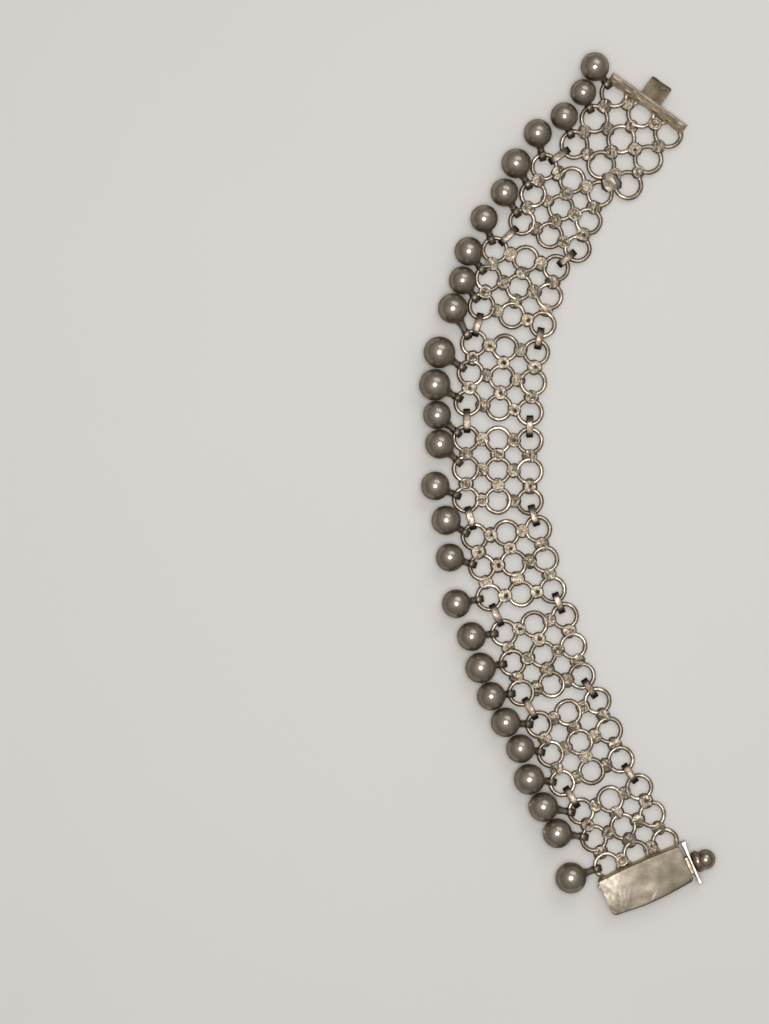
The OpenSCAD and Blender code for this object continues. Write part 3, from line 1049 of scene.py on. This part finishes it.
def box_section(x, inset):
    """Section of the box at a place along it: straight walls with soft edges, between its two bowed
    sides, which are drawn in at the rounded corners of its plan."""
    left = BOX_LENGTH / 2 - inset - abs(x)
    low = -BOX_WIDTH / 2 + inset + x * x / (2 * BOX_BOW) + drawn_in(left, 1.1 if x < 0 else 0.7)
    high = BOX_WIDTH / 2 - inset - x * x / (2 * BOX_BACK_BOW) - drawn_in(left, 0.5)
    soft, top = 0.42, BOX_HEIGHT - inset
    points = []
    for (y, z), first in zip(((high - soft, top - soft), (low + soft, top - soft),
                              (low + soft, inset + soft), (high - soft, inset + soft)), (0, 90, 180, 270)):
        for i in range(5):
            a = radians(first + 22.5 * i)
            points.append(Vector((x, y + soft * cos(a), z + soft * sin(a))))
    even = []
    for i, point in enumerate(points):
        even.append(point)
        if i % 5 == 4:
            gap = points[(i + 1) % len(points)] - point
            steps = 18 if i in (4, 14) else 6
            even += [point + gap * k / steps for k in range(1, steps)]
    return even


def box_shape(name, inset):
    """A closed box shape, inset by a wall or not."""
    # A hair short of the ends, where the round corners would draw the sections in too far
    half, steps = (BOX_LENGTH / 2 - inset) * 0.9995, 54
    places = [-half * cos(pi * i / steps) for i in range(steps + 1)]
    bm, made = skinned([box_section(x, inset) for x in places])
    bm.faces.new(made[0])
    bm.faces.new(made[-1])
    return finished(bm, name, box_silver, boxed, sharp=50)


def clasp_box():
    """The hollow box with its mouth and the two holes of the pin."""
    box = hammered(box_shape("clasp_box", 0), 0.12, 3.6, 2)
    hollow = box_shape("hollow", BOX_WALL)
    mouth = bar("mouth", (MOUTH_WIDTH, 4, MOUTH_HEIGHT), (0, -BOX_WIDTH / 2, PIN_Z), 0.3, box_silver, boxed)
    bore, past = PIN_WIDTH / 2 + PIN_GAP, 15
    holes = turned("holes", [(0, -past), (bore, -past), (bore, past), (0, past)], 24, box_silver,
                   pinned @ Z_TO_X)
    return cut_out(box, [hollow, mouth, holes])


def bent_corner():
    """The small turned-up flap of sheet at the inner corner of the box, away from the pin."""
    flap = bar("bent_corner", (1.3, 1.2, 1.1), (-BOX_LENGTH / 2 + 0.1, BOX_WIDTH / 2 - 1.9, 3.9), 0.25,
               plate_silver, boxed @ Matrix.Rotation(0.02, 4, "Z"), cuts=3)
    return faced(hammered(flap, 0.35, 1.1, 7))


show(faced(clasp_box()), "clasp_box")
show(bent_corner(), "clasp_box")


# Clasp pin


def cap_plate(cap_x):
    """The plate across the end of the box, thin in the middle and hammered thicker at its ends; its
    upper end leans away from the last ring."""
    cap = bar("cap", (0.6, CAP_LENGTH, CAP_HEIGHT), (0, 0, 0), 0.12, cap_silver, Matrix(), cuts=36)
    for vertex in cap.data.vertices:
        along = vertex.co.y / (CAP_LENGTH * MM / 2)
        vertex.co.x *= 1 + (1.4 if along > 0 else 0.8) * abs(along) ** 1.8
        vertex.co.x += 0.2 * MM * max(0.0, along) ** 2
    cap.data.transform(pinned @ shift(cap_x + CAP_THICK / 2, 0.5, 0))
    return hammered(cap, 0.1, 2.4, 6)


def clasp_pin():
    """The shaft with its collar, cap plate, flattened bead and ball."""
    along = pinned @ Z_TO_X
    collar_x = BOX_LENGTH / 2 + 0.1
    cap_x = collar_x + 0.9
    bead_x = cap_x + CAP_THICK + BEAD_THICK / 2 - 0.1
    ball_x = bead_x + BEAD_THICK / 2 + FINIAL / 2 - FINIAL_SINK
    half, thin = PIN_WIDTH / 2, BEAD_THICK / 2
    shaft = turned("shaft", [(0, -BOX_LENGTH / 2), (half - 0.15, -BOX_LENGTH / 2),
                             (half, -BOX_LENGTH / 2 + 0.2), (half, bead_x), (0, bead_x)], 24,
                   bead_silver, along)
    collar = bar("collar", COLLAR, (collar_x + COLLAR[0] / 2, 0, 0), 0.15, solder_silver, pinned, cuts=8)
    rim = [(BEAD / 2 - thin + x, y) for x, y in ball_line(thin, bead_x, 0, pi, 15)]
    bead = turned("bead", [(0, bead_x - thin)] + rim + [(0, bead_x + thin)], 44, bead_silver, along)
    hammered(bead, 0.06, 2.4, 3)
    outline = ball_line(FINIAL / 2, ball_x, 0.12, pi - 0.12, 22)
    ball = turned("finial", [(0, ball_x - FINIAL / 2)] + outline + [(0, ball_x + FINIAL / 2)], 44,
                  bead_silver, pinned @ shift(0, -FINIAL_OFF, 0) @ Z_TO_X)
    hammered(ball, 0.05, 2.6, 8)
    return faced(joined("pin_and_finial", [shaft, collar, cap_plate(cap_x), bead, ball]))


show(clasp_pin(), "clasp_pin", body=PIN)


# Table, light and camera


# Half the width of the table top in metres, and its two tones
TABLE, TABLE_COLOURS = 2, ((0.685, 0.672, 0.655), (0.705, 0.692, 0.68))
# The surroundings at the level of the table and overhead
SKY_COLOURS = ((0.36, 0.33, 0.3), (0.78, 0.77, 0.75))

# Lamps, in metres: name, place, point that it faces, width and depth, power, colour
LAMPS = [
    ("window", (0.2, 0.6, 0.75), (0, 0.02, 0), (0.8, 0.5), 1.7, (1.0, 0.99, 0.97)),
    ("lamp", (-0.035, -0.03, 0.84), (-0.02, -0.05, 0), (0.43, 0.43), 3.7, (1.0, 0.98, 0.95)),
]


def table():
    """A plain pale table top."""
    material, group, shader, place = new_material("pale_table")
    cloud = grain_of(group, place, 90.0, 2.0)
    feed_all(group, shader, Roughness=0.75, Base_Color=blend_colours(group, cloud, *TABLE_COLOURS),
             Normal=dent(group, grain_of(group, place, 0.8, 2.0), 0.15, 0.05))
    mesh = bpy.data.meshes.new("table")
    corners = [(x * TABLE, y * TABLE, 0) for x, y in ((-1, -1), (1, -1), (1, 1), (-1, 1))]
    mesh.from_pydata(corners, [], [(0, 1, 2, 3)])
    as_piece("table", mesh, material)


def lamp(name, place, target, size, power, colour):
    """A soft round or oval light aimed at a point."""
    data = bpy.data.lights.new(name, "AREA")
    data.shape, data.size, data.size_y = "ELLIPSE", size[0], size[1]
    data.energy, data.color = power, colour
    light = as_piece(name, data)
    light.location = place
    light.rotation_euler = (Vector(target) - Vector(place)).to_track_quat("-Z", "Y").to_euler()


def studio():
    """Even pale surroundings, with the lamps: a window beyond the table and a round one overhead."""
    scene = bpy.context.scene
    scene.world = bpy.data.worlds.new("studio")
    scene.world.use_nodes = True
    group = scene.world.node_tree
    way = out(add(group, "TexCoord"), "Generated")
    height = span(group, coordinate(group, way, "Z"), 0.0, 0.8)
    feed_all(group, group.nodes["Background"], Strength=0.5,
             Color=blend_colours(group, height, *SKY_COLOURS))
    for settings in LAMPS:
        lamp(*settings)
    scene.view_settings.view_transform = "Standard"


def camera():
    """Straight above the table, as the photograph was taken."""
    data = bpy.data.cameras.new("camera")
    data.sensor_fit, data.sensor_height, data.lens = "VERTICAL", SENSOR_HEIGHT, LENS
    data.clip_start, data.clip_end = 0.01, 10.0
    eye = as_piece("camera", data)
    eye.location = at(*CAMERA_AT, z=CAMERA_HEIGHT).translation
    bpy.context.scene.camera = eye


table()
studio()
camera()
